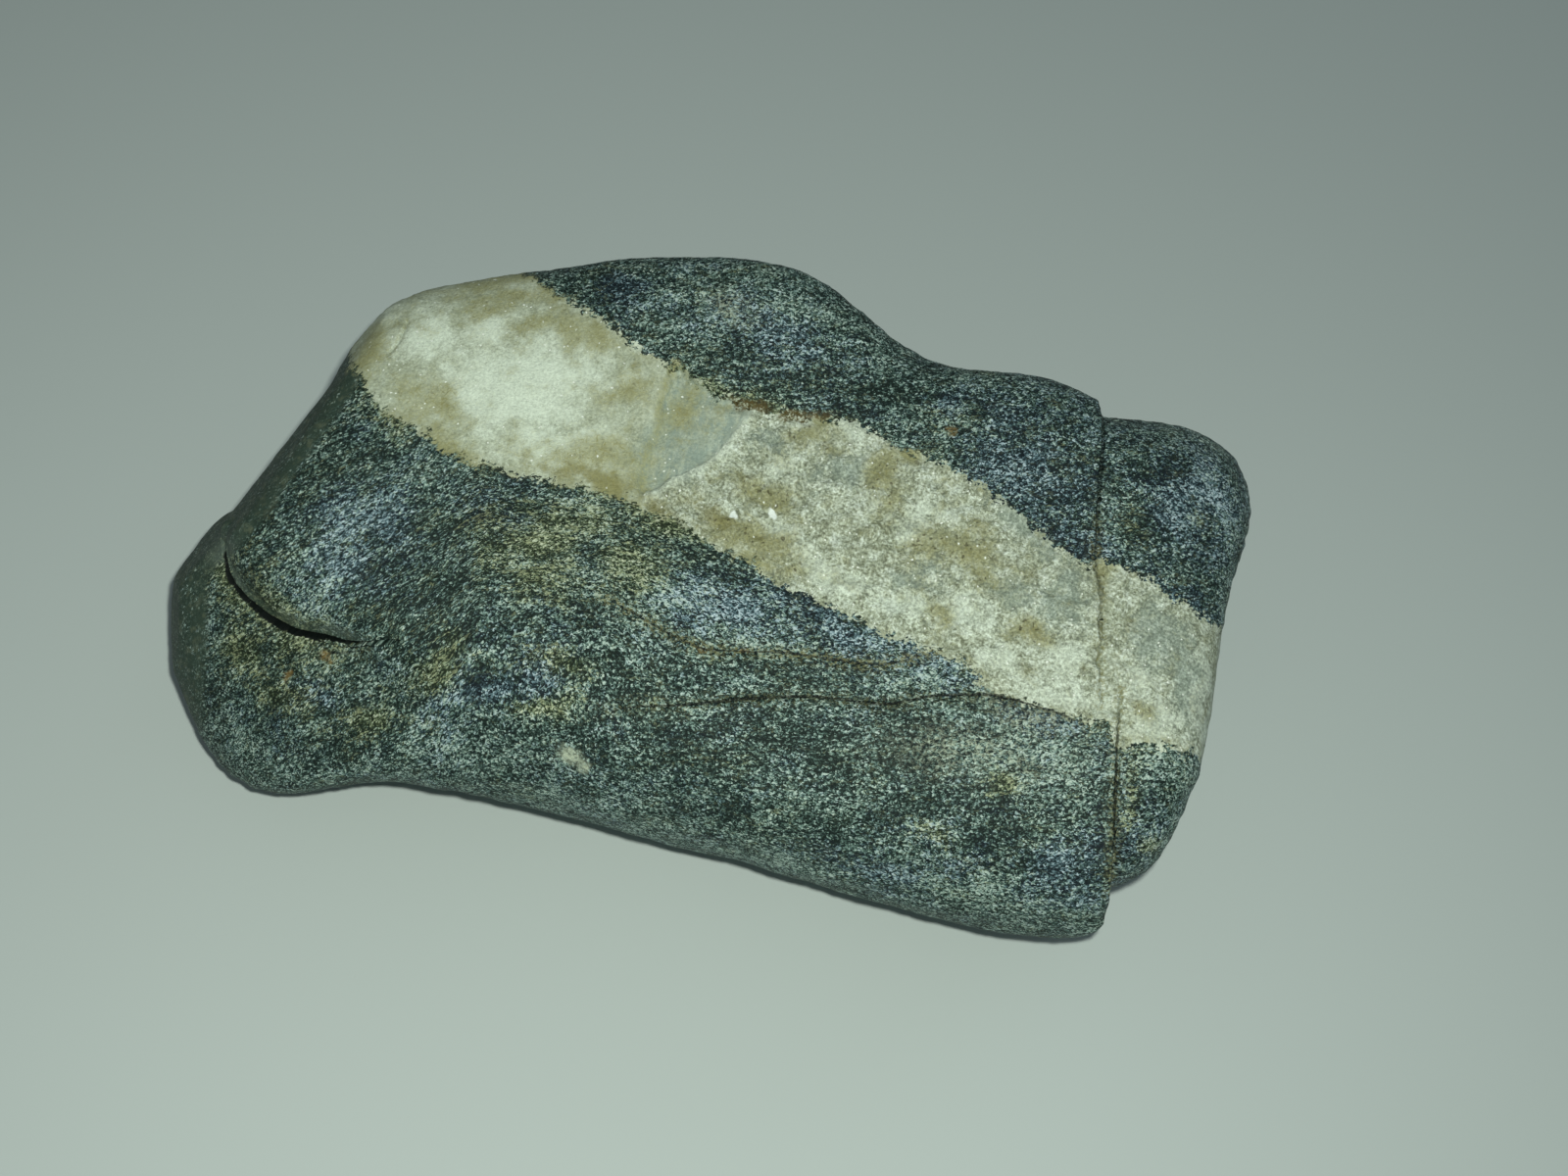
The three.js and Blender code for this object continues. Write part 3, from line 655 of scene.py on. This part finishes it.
def paintMasks(piece):
    places = placesOf(piece)
    store(piece, "bedding", bedding(places))
    store(piece, "vein", depthInVein(places))
    near = nearCracks(places)
    store(piece, "crackAcross", np.clip(near["across"], -5, 5))
    store(piece, "crackWidth", near["width"])
    store(piece, "crackDarkAndShade", near["dark"])
    store(piece, "crackStain", near["stain"])
    store(piece, "flatSide", onFlatSides(places))
    milky, glassy, rough = quartzShares(places)
    store(piece, "roughQuartz", rough)
    store(piece, "glassyQuartz", glassy)
    # painted highlight along the raised rim where the rough quartz begins
    store(piece, "quartzRimHighlight", (rough + glassy) * roughRim(places))
    # painted shade along the foot of the step where the smooth quartz ends
    store(piece, "quartzStepShade", (1 - rough) * stepRim(places, "smoothEnd", *quartzSteps["shadedStepRim"]))
    broad = bent(places, *tintEdges["broad"])
    fine = bent(places, *tintEdges["fine"])
    facing = soften(places[:, 2], *tintEdges["towardsBack"])
    for name, patches in tints.items():
        drawn = fine if name in tintEdges["fineOnes"] else broad
        store(piece, name, facing * np.max([patch(drawn, *oval) for oval in patches], axis=0))
    print("masks painted")


# The material

def newNode(tree, kind, settings=None, **inputs):
    node = tree.nodes.new("ShaderNode" + kind)
    for name, value in (settings or {}).items():
        setattr(node, name, value)
    for name, value in inputs.items():
        feed(tree, node.inputs[name.replace("_", " ")], value)
    return node


def feed(tree, socket, value):
    if isinstance(value, bpy.types.NodeSocket):
        tree.links.new(value, socket)
    else:
        socket.default_value = value


def maskOf(tree, name):
    return newNode(tree, "Attribute", {"attribute_name": name}).outputs["Fac"]


def stretched(tree, vector, stretch):
    return newNode(tree, "Mapping", Vector=vector, Scale=stretch).outputs["Vector"]


def noiseOf(tree, vector, scale, detail=2.0, roughness=0.5):
    made = newNode(tree, "TexNoise", Vector=vector, Scale=scale, Detail=detail, Roughness=roughness)
    return made.outputs["Fac"]


def wobbled(tree, vector, scale, amount):  # the places moved about a little
    shake = newNode(tree, "TexNoise", Vector=vector, Scale=scale, Detail=1.0).outputs["Color"]
    centred = newNode(tree, "VectorMath", {"operation": "SUBTRACT"})
    feed(tree, centred.inputs[0], shake)
    feed(tree, centred.inputs[1], (0.5, 0.5, 0.5))
    moved = newNode(tree, "VectorMath", {"operation": "MULTIPLY_ADD"})
    feed(tree, moved.inputs[0], centred.outputs["Vector"])
    feed(tree, moved.inputs[1], (amount, amount, amount))
    feed(tree, moved.inputs[2], vector)
    return moved.outputs["Vector"]


def grainsOf(tree, vector, scale):  # flat grains: two values from 0 to 1 for each
    cells = newNode(tree, "TexVoronoi", Vector=vector, Scale=scale)
    parts = newNode(tree, "SeparateColor", Color=cells.outputs["Color"])
    return parts.outputs["Red"], parts.outputs["Green"]


def between(tree, value, low, high, toLow=0.0, toHigh=1.0):
    node = newNode(tree, "MapRange", {"interpolation_type": "SMOOTHSTEP"})
    ends = {"Value": value, "From Min": low, "From Max": high, "To Min": toLow, "To Max": toHigh}
    for name, number in ends.items():
        feed(tree, node.inputs[name], number)
    return node.outputs["Result"]


def sums(tree, operation, first, second=0.5, third=0.5):
    node = newNode(tree, "Math", {"operation": operation})
    for socket, value in zip(node.inputs, (first, second, third)):
        feed(tree, socket, value)
    return node.outputs["Value"]


def times(tree, first, second):
    return sums(tree, "MULTIPLY", first, second)


def sway(tree, base, source, amount, middle=0.5):  # the base, moved by how far the source is from its middle
    return sums(tree, "MULTIPLY_ADD", sums(tree, "SUBTRACT", source, middle), amount, base)


def blend(tree, share, first, second, kind="MIX"):
    node = newNode(tree, "Mix", {"data_type": "RGBA", "blend_type": kind})
    feed(tree, node.inputs[0], share)
    feed(tree, node.inputs[6], first)
    feed(tree, node.inputs[7], second)
    return node.outputs[2]


def colours(tree, value, stops):
    node = newNode(tree, "ValToRGB", Fac=value)
    ramp = node.color_ramp
    while len(ramp.elements) < len(stops):
        ramp.elements.new(0.5)
    for element, (place, colour) in zip(ramp.elements, stops):
        element.position = place
        element.color = (*colour, 1)
    return node.outputs["Color"]


rock = {
    "teal": [
        (0.15, (0.006, 0.015, 0.012)), (0.38, (0.026, 0.053, 0.044)), (0.55, (0.084, 0.148, 0.126)),
        (0.72, (0.21, 0.33, 0.285)), (0.92, (0.47, 0.6, 0.53)),
    ],
    "blue": [
        (0.15, (0.005, 0.012, 0.016)), (0.38, (0.023, 0.048, 0.057)), (0.55, (0.076, 0.137, 0.157)),
        (0.72, (0.19, 0.305, 0.34)), (0.92, (0.46, 0.59, 0.63)),
    ],
    "olive": [
        (0.15, (0.012, 0.02, 0.008)), (0.38, (0.045, 0.066, 0.03)), (0.55, (0.125, 0.165, 0.085)),
        (0.72, (0.28, 0.34, 0.19)), (0.92, (0.52, 0.58, 0.4)),
    ],
    "pale": (0.46, 0.54, 0.4, 1),
    "wisp": (0.4, 0.46, 0.26, 1),
    # the flat sides' smooth colour: worn rock, darker partly as painted shade where the steep sides turn away
    # from the light
    "smooth": (0.036, 0.062, 0.044, 1),
    "scuffed": (0.085, 0.11, 0.072, 1),
    "scratch": (0.22, 0.3, 0.25, 1),
    # lighter rubbed colour: partly wear, partly painted light on the rims
    "rubbedAndLit": (0.15, 0.2, 0.17, 1),
    # near-black in the cracks: painted shade inside them, wholly so in the gap under the nose
    "crack": (0.003, 0.006, 0.005, 1),
    "ochre": (0.25, 0.25, 0.11, 1),
    "rust": (0.19, 0.13, 0.04, 1),
    "umber": (0.1, 0.075, 0.022, 1),
}


# The rock's grain: how many of each there are to the mm, and how fine and rough the noises are, then how they
# are drawn out along the beds, and how far each moves the tone between dark and light
rockGrain = {
    "tone": 0.392,
    "shaken": (3, 0.3),
    "perMm": {"coarse": 4.2, "fine": 7.5},
    "noise": {
        "dust": (3, 3, 0.8), "clouds": (0.3, 5, 0.7), "streaks": (0.9, 4, 0.65), "blotches": (0.6, 2, 0.6),
    },
    "drawnOut": {
        "grains": (0.85, 1.15, 1), "clouds": (0.55, 1.3, 1), "streaks": (0.22, 1.6, 0.4),
        "blotches": (0.7, 1.2, 0.9),
    },
    "moves": {"coarse": 0.5, "blotches": 0.35, "fine": 0.8, "dust": 1.6, "clouds": 0.75, "streaks": 0.65},
    # how far the light and shade patches move the tone: partly painted light and painted shade
    "light": 0.155,
    "shade": -0.19,
}


def rockTone(tree, layers):  # from dark to light, with the grains it is made of, and with the light and shade patches, which are partly painted light and painted shade
    def drawn(name):
        return stretched(tree, layers, rockGrain["drawnOut"][name])

    noises = rockGrain["noise"]
    along = wobbled(tree, drawn("grains"), *rockGrain["shaken"])
    coarse, coarseHue = grainsOf(tree, along, rockGrain["perMm"]["coarse"])
    fine, fineHue = grainsOf(tree, along, rockGrain["perMm"]["fine"])
    parts = {
        "coarse": coarse,
        "blotches": noiseOf(tree, drawn("blotches"), *noises["blotches"]),
        "fine": fine,
        "dust": noiseOf(tree, along, *noises["dust"]),
        "clouds": noiseOf(tree, drawn("clouds"), *noises["clouds"]),
        "streaks": noiseOf(tree, drawn("streaks"), *noises["streaks"]),
    }
    tone = rockGrain["tone"]
    for name, part in parts.items():
        tone = sway(tree, tone, part, rockGrain["moves"][name])
    # the light and shade patches lift or lower the tone: partly the rock's own tone, partly painted light and
    # painted shade
    for name in ("light", "shade"):
        tone = sums(tree, "MULTIPLY_ADD", maskOf(tree, name), rockGrain[name], tone)
    return tone, parts, coarseHue, fineHue


# How each mark sets in, from where to where and how strong at either end, and the noises that shape it
rockMarks = {
    "blue": (0.1, 1), "olive": (0.15, 1.1, 0, 0.9), "wispLine": (0.022, 0.004), "inDust": (0.4, 0.6),
    "inOlive": (0.05, 0.7, 0.12, 0.75), "pale": (0.42, 0.66, 0, 0.8), "chip": (0.1, 0.9),
    "chipDust": (0.35, 0.55, 0.3, 0.95), "worn": (0.98, 0.9, 0.3, 0.88), "scuffed": (0.48, 0.66),
    "scratch": (0.66, 0.72, 0, 0.6),
}
rockNoise = {
    "drift": (0.26, 3, 0.6), "wisps": (0.55, 4, 0.6), "mottles": (0.9, 5, 0.7), "scratches": (1.5, 2, 0.6),
    "wispsDrawnOut": (0.35, 1.1, 0.6), "scratchesDrawnOut": (2.6, 0.9, 0.9),
}
rockHues = {"blue": (2.2, 1), "olive": (-1.7, 0.6)}  # how far each follows the drift, and the single grains


def rockColour(tree, layers, inMm):  # the tone in clouds of three hues, with wisps, pale patches, and worn flat sides that are darker partly as painted shade and lighter under the light patches partly as painted light
    tone, parts, coarseHue, fineHue = rockTone(tree, layers)
    dust = parts["dust"]
    marks, noises = rockMarks, rockNoise
    drift = noiseOf(tree, inMm, *noises["drift"])
    shares = []
    for name, hue in (("blue", coarseHue), ("olive", fineHue)):
        byDrift, byGrains = rockHues[name]
        shares.append(sway(tree, sway(tree, maskOf(tree, name), drift, byDrift), hue, byGrains))
    blueShare, oliveShare = shares
    teal, blue, olive = (colours(tree, tone, rock[name]) for name in ("teal", "blue", "olive"))
    colour = blend(tree, between(tree, blueShare, *marks["blue"]), teal, blue)
    colour = blend(tree, between(tree, oliveShare, *marks["olive"]), colour, olive)
    wisps = noiseOf(tree, stretched(tree, layers, noises["wispsDrawnOut"]), *noises["wisps"])
    fromLine = sums(tree, "ABSOLUTE", sums(tree, "SUBTRACT", wisps, 0.5))
    wispShare = between(tree, fromLine, *marks["wispLine"])
    wispShare = times(tree, wispShare, between(tree, oliveShare, *marks["inOlive"]))
    wispShare = times(tree, wispShare, between(tree, dust, *marks["inDust"]))
    colour = blend(tree, wispShare, colour, rock["wisp"])
    paleShare = times(tree, maskOf(tree, "pale"), between(tree, dust, *marks["pale"]))
    colour = blend(tree, paleShare, colour, rock["pale"])
    chipShare = between(tree, maskOf(tree, "chip"), *marks["chip"])
    chipShare = times(tree, chipShare, between(tree, dust, *marks["chipDust"]))
    colour = blend(tree, chipShare, colour, rock["pale"])
    calm = sway(tree, between(tree, parts["coarse"], *marks["worn"]), parts["clouds"], 1.5)
    smoothShare = times(tree, maskOf(tree, "flatSide"), calm)
    mottles = noiseOf(tree, inMm, *noises["mottles"])
    scratches = noiseOf(tree, stretched(tree, inMm, noises["scratchesDrawnOut"]), *noises["scratches"])
    # worn colours of the flat sides, darker partly as painted shade of the steep sides
    worn = blend(tree, between(tree, mottles, *marks["scuffed"]), rock["smooth"], rock["scuffed"])
    worn = blend(tree, between(tree, scratches, *marks["scratch"]), worn, rock["scratch"])
    # lighter colour on the flat sides under the light patches: partly wear, partly painted light
    worn = blend(tree, times(tree, maskOf(tree, "light"), 0.6), worn, rock["rubbedAndLit"])
    colour = blend(tree, smoothShare, colour, worn)
    return colour, parts["coarse"], parts["fine"], dust


quartz = {
    "body": [
        (0.2, (0.185, 0.21, 0.135)), (0.4, (0.31, 0.355, 0.25)), (0.58, (0.435, 0.5, 0.385)),
        (0.8, (0.61, 0.7, 0.6)),
    ],
    "milk": (0.62, 0.72, 0.595, 1),
    "glass": (0.245, 0.32, 0.275, 1),
    "tan": (0.285, 0.295, 0.14, 1),
    "honey": (0.2, 0.195, 0.07, 1),
    "speck": (0.06, 0.055, 0.025, 1),
    # painted glints: white specks standing for sparkles of light
    "glint": (0.85, 0.92, 0.82, 1),
    "dot": (0.85, 0.95, 0.88, 1),
}


# The quartz's grain: how many of each there are to the mm, and how far each moves the tone in the smooth
# quartz, and how much farther in the rough
quartzGrain = {
    "tone": 0.5,
    "perMm": {
        "clouds": 0.28, "lumps": 0.8, "grit": 3.6, "crystal": 0.9, "crumb": 4, "streaks": 1.4, "stains": 0.42,
        "seams": 1.3, "glintSpecks": 6.5,
    },
    "moves": {
        "lumps": (0.45, 0.25), "clouds": (0.5, 0), "grit": (0.3, 0.7), "crystal": (0.04, 0.2),
        "crumb": (0.08, 0.24),
    },
}


def quartzColour(tree, inMm):
    shaken = wobbled(tree, inMm, 1.4, 0.8)
    perMm = quartzGrain["perMm"]
    clouds = noiseOf(tree, shaken, perMm["clouds"], 3, 0.6)
    lumps = noiseOf(tree, inMm, perMm["lumps"], 5, 0.7)
    grit = noiseOf(tree, inMm, perMm["grit"], 3, 0.75)
    crystal = grainsOf(tree, shaken, perMm["crystal"])[0]
    crumb, crumbHue = grainsOf(tree, shaken, perMm["crumb"])
    roughShare = maskOf(tree, "roughQuartz")
    tone = quartzGrain["tone"]
    parts = {"lumps": lumps, "clouds": clouds, "grit": grit, "crystal": crystal, "crumb": crumb}
    for name, part in parts.items():
        move, more = quartzGrain["moves"][name]
        if more:
            move = sums(tree, "MULTIPLY_ADD", roughShare, more, move)
        tone = sway(tree, tone, part, move)
    colour = colours(tree, tone, quartz["body"])
    ragged = sway(tree, times(tree, sums(tree, "SUBTRACT", lumps, 0.5), 2.2), grit, 0.9)
    ragged = times(tree, ragged, sums(tree, "MULTIPLY_ADD", roughShare, 0.55, 0.45))
    milkShare = between(tree, sums(tree, "ADD", maskOf(tree, "milk"), ragged), 0.15, 0.9, 0, 0.88)
    milkShare = times(tree, milkShare, sums(tree, "MULTIPLY_ADD", roughShare, -0.25, 1))
    colour = blend(tree, milkShare, colour, quartz["milk"])
    glassShare = between(tree, sums(tree, "SUBTRACT", maskOf(tree, "glass"), ragged), 0.1, 0.9, 0, 0.6)
    streaks = noiseOf(tree, stretched(tree, inMm, (1, 0.35, 0.6)), perMm["streaks"], 4, 0.7)
    trough = between(tree, maskOf(tree, "glassyQuartz"), 0.3, 0.7)
    trough = times(tree, trough, between(tree, streaks, 0.62, 0.4, 0.2, 0.9))
    glassShare = sums(tree, "MAXIMUM", glassShare, trough)
    colour = blend(tree, glassShare, colour, quartz["glass"])
    stains = noiseOf(tree, shaken, perMm["stains"], 5, 0.7)
    tanReach = sway(tree, sway(tree, maskOf(tree, "tan"), stains, 2.2), grit, 0.8)
    colour = blend(tree, between(tree, tanReach, -0.05, 0.95, 0, 0.72), colour, quartz["tan"])
    colour = blend(tree, between(tree, tanReach, 0.8, 1.5, 0, 0.6), colour, quartz["honey"])
    amberReach = sway(tree, maskOf(tree, "amber"), stains, 2)
    colour = blend(tree, between(tree, amberReach, 0.05, 0.9, 0, 0.75), colour, quartz["honey"])
    edges = newNode(tree, "TexVoronoi", {"feature": "DISTANCE_TO_EDGE"}, Vector=shaken, Scale=perMm["seams"])
    seams = edges.outputs["Distance"]
    seamShare = times(tree, between(tree, seams, 0.08, 0.02), between(tree, tanReach, 0.1, 1.1, 0.04, 0.7))
    colour = blend(tree, times(tree, seamShare, between(tree, grit, 0.4, 0.6)), colour, quartz["honey"])
    speckShare = times(tree, between(tree, crumbHue, 0.93, 0.96), between(tree, tanReach, 0.0, 0.8, 0.1, 0.8))
    speckShare = times(tree, speckShare, sums(tree, "MULTIPLY_ADD", roughShare, 0.6, 0.3))
    colour = blend(tree, speckShare, colour, quartz["speck"])
    # painted highlight: the raised rim of the rough quartz is coloured milky white
    colour = blend(tree, times(tree, maskOf(tree, "quartzRimHighlight"), 0.6), colour, quartz["milk"])
    # painted shade: a darker tan line along the step where the smooth quartz ends
    stepShadeShare = times(tree, maskOf(tree, "quartzStepShade"), between(tree, grit, 0.35, 0.6, 0.3, 0.8))
    colour = blend(tree, stepShadeShare, colour, quartz["tan"])
    sugar = between(tree, grit, 0.3, 0.7, sums(tree, "MULTIPLY_ADD", roughShare, -0.27, 0.95), 1.28)
    colour = blend(tree, 1, colour, sugar, "MULTIPLY")
    # painted highlight: tiny white specks standing for glints of light on the quartz
    glintSpecks = grainsOf(tree, inMm, perMm["glintSpecks"])[0]
    colour = blend(tree, between(tree, glintSpecks, 0.006, 0.003), colour, quartz["glint"])
    colour = blend(tree, between(tree, maskOf(tree, "whiteDots"), 0.3, 0.6), colour, quartz["dot"])
    return colour, grit, tanReach


# The roughness of most grains and of the glossiest, and the strength of each bump and its height in mm
finish = {
    "specular": 0.2,
    "rockRoughness": (0.62, 0.34),
    "quartzRoughness": (0.58, 0.36),
    "grainBump": (0.7, 0.16),
    "gritBump": (0.6, 0.1),
}


def bump(tree, height, strength, distance, **inputs):
    node = newNode(tree, "Bump", Strength=strength, Distance=distance * mm, Height=height, **inputs)
    return node.outputs["Normal"]


def mudstoneMaterial():
    material = bpy.data.materials.new("veined mudstone")
    material.use_nodes = True
    tree = material.node_tree
    shader = tree.nodes["Principled BSDF"]
    shader.inputs["Specular IOR Level"].default_value = finish["specular"]
    layers = newNode(tree, "Attribute", {"attribute_name": "bedding"}).outputs["Vector"]
    place = newNode(tree, "TexCoord").outputs["Object"]
    inMm = stretched(tree, place, (1000, 1000, 1000))
    rockFinish, coarse, fine, dust = rockColour(tree, layers, inMm)
    quartzFinish, grit, tanReach = quartzColour(tree, inMm)

    # where one gives way to the other
    edge = sway(tree, maskOf(tree, "vein"), noiseOf(tree, inMm, 0.9, 4, 0.7), vein["ragged"])
    edge = sway(tree, edge, coarse, vein["grainy"])
    quartzShare = between(tree, edge, -0.06, 0.1)
    colour = blend(tree, quartzShare, rockFinish, quartzFinish)
    rim = times(tree, between(tree, edge, -0.5, 0.05), between(tree, edge, 1.1, 0.1))
    rimShare = times(tree, rim, between(tree, tanReach, -0.1, 0.9, 0.05, 0.7))
    rimShare = times(tree, rimShare, between(tree, maskOf(tree, "blue"), 0.5, 0))
    colour = blend(tree, rimShare, colour, quartz["tan"])

    # stains and cracks
    ochreShare = times(tree, maskOf(tree, "crackStain"), between(tree, dust, 0.46, 0.6))
    colour = blend(tree, ochreShare, colour, rock["ochre"])
    rustShare = between(tree, maskOf(tree, "rust"), 0.2, 0.7)
    rustShare = times(tree, rustShare, between(tree, dust, 0.38, 0.58, 0.15, 0.8))
    colour = blend(tree, rustShare, colour, rock["rust"])
    umberShare = between(tree, maskOf(tree, "umber"), 0.2, 0.75)
    umberShare = times(tree, umberShare, between(tree, grit, 0.62, 0.4, 0.25, 0.9))
    colour = blend(tree, umberShare, colour, rock["umber"])
    # painted shade: the cracks and the gap under the nose are coloured near-black, standing for the shade
    # inside them
    crackShadeDarkness = times(tree, maskOf(tree, "crackDarkAndShade"), between(tree, dust, 0.6, 0.42, 0.6, 1.05))
    across = sway(tree, maskOf(tree, "crackAcross"), noiseOf(tree, inMm, 1.6, 4, 0.7), 0.25)
    past = sums(tree, "SUBTRACT", sums(tree, "ABSOLUTE", across), maskOf(tree, "crackWidth"))
    crackShadeShare = times(tree, between(tree, past, 0.05, -0.03), crackShadeDarkness)
    colour = blend(tree, crackShadeShare, colour, rock["crack"])
    feed(tree, shader.inputs["Base Color"], colour)

    rockDull = between(tree, fine, 0.86, 0.97, *finish["rockRoughness"])
    quartzDull = between(tree, grit, 0.35, 0.65, *finish["quartzRoughness"])
    dull = newNode(tree, "Mix", {"data_type": "FLOAT"})
    feed(tree, dull.inputs[0], quartzShare)
    feed(tree, dull.inputs[2], rockDull)
    feed(tree, dull.inputs[3], quartzDull)
    feed(tree, shader.inputs["Roughness"], dull.outputs[0])

    bumped = bump(tree, sway(tree, dust, coarse, 0.3), *finish["grainBump"])
    bumped = bump(tree, grit, *finish["gritBump"], Normal=bumped)
    feed(tree, shader.inputs["Normal"], bumped)
    return material


# Floor, light and camera

studio = {
    "floor": (0.49, 0.565, 0.54, 1), "floorSize": 4, "floorRoughness": 0.9,
    "world": (0.84, 0.95, 1, 1), "worldStrength": 0.155,
    "key": {
        "place": (0.0403, -0.0929, 0.2058), "aim": (-0.055, -0.06, 0), "size": 0.005, "power": 0.385,
        "colour": (0.98, 1, 0.92),
    },
    "back": {
        "place": (0.35, 0.5, 0.3), "aim": (0, 0, 0.015), "size": 0.5, "power": 0.38,
        "colour": (0.74, 0.88, 1),
    },
}


def makeFloor():
    bpy.ops.object.select_all(action="DESELECT")
    bpy.ops.mesh.primitive_plane_add(size=studio["floorSize"], location=(0, 0, 0))
    floor = bpy.context.object
    floor.name = "paleFloor"
    material = bpy.data.materials.new("pale floor")
    material.use_nodes = True
    tree = material.node_tree
    shader = tree.nodes["Principled BSDF"]
    shader.inputs["Base Color"].default_value = studio["floor"]
    shader.inputs["Roughness"].default_value = studio["floorRoughness"]
    floor.data.materials.append(material)


def makeLight(name, place, aim, size, power, colour):
    bpy.ops.object.light_add(type="AREA", location=place)
    light = bpy.context.object
    light.name = name
    light.data.size = size
    light.data.energy = power
    light.data.color = colour
    light.rotation_euler = (Vector(aim) - Vector(place)).to_track_quat("-Z", "Y").to_euler()


def makeStudio():
    makeFloor()
    for name in ("key", "back"):
        makeLight(name, **studio[name])
    world = bpy.data.worlds.new("soft room")
    bpy.context.scene.world = world
    world.use_nodes = True
    world.node_tree.nodes["Background"].inputs["Color"].default_value = studio["world"]
    world.node_tree.nodes["Background"].inputs["Strength"].default_value = studio["worldStrength"]
    bpy.context.scene.view_settings.view_transform = "Standard"


camera = {
    "place": (0.03621, -0.10079, 0.20207),
    "turn": (30, 0, 15),
    "lens": 50, "sensor": 36, "nearest": 0.01,
}


def makeCamera():
    turn = [math.radians(angle) for angle in camera["turn"]]
    bpy.ops.object.camera_add(location=camera["place"], rotation=turn)
    made = bpy.context.object
    made.data.lens = camera["lens"]
    made.data.sensor_width = camera["sensor"]
    made.data.clip_start = camera["nearest"]
    bpy.context.scene.camera = made


makeCamera()
makeStudio()
print("camera and studio made")

stone = makeCobble()
stone.data.materials.append(mudstoneMaterial())
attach(stone, "root")
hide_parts("mudstone")
print("cobble finished")
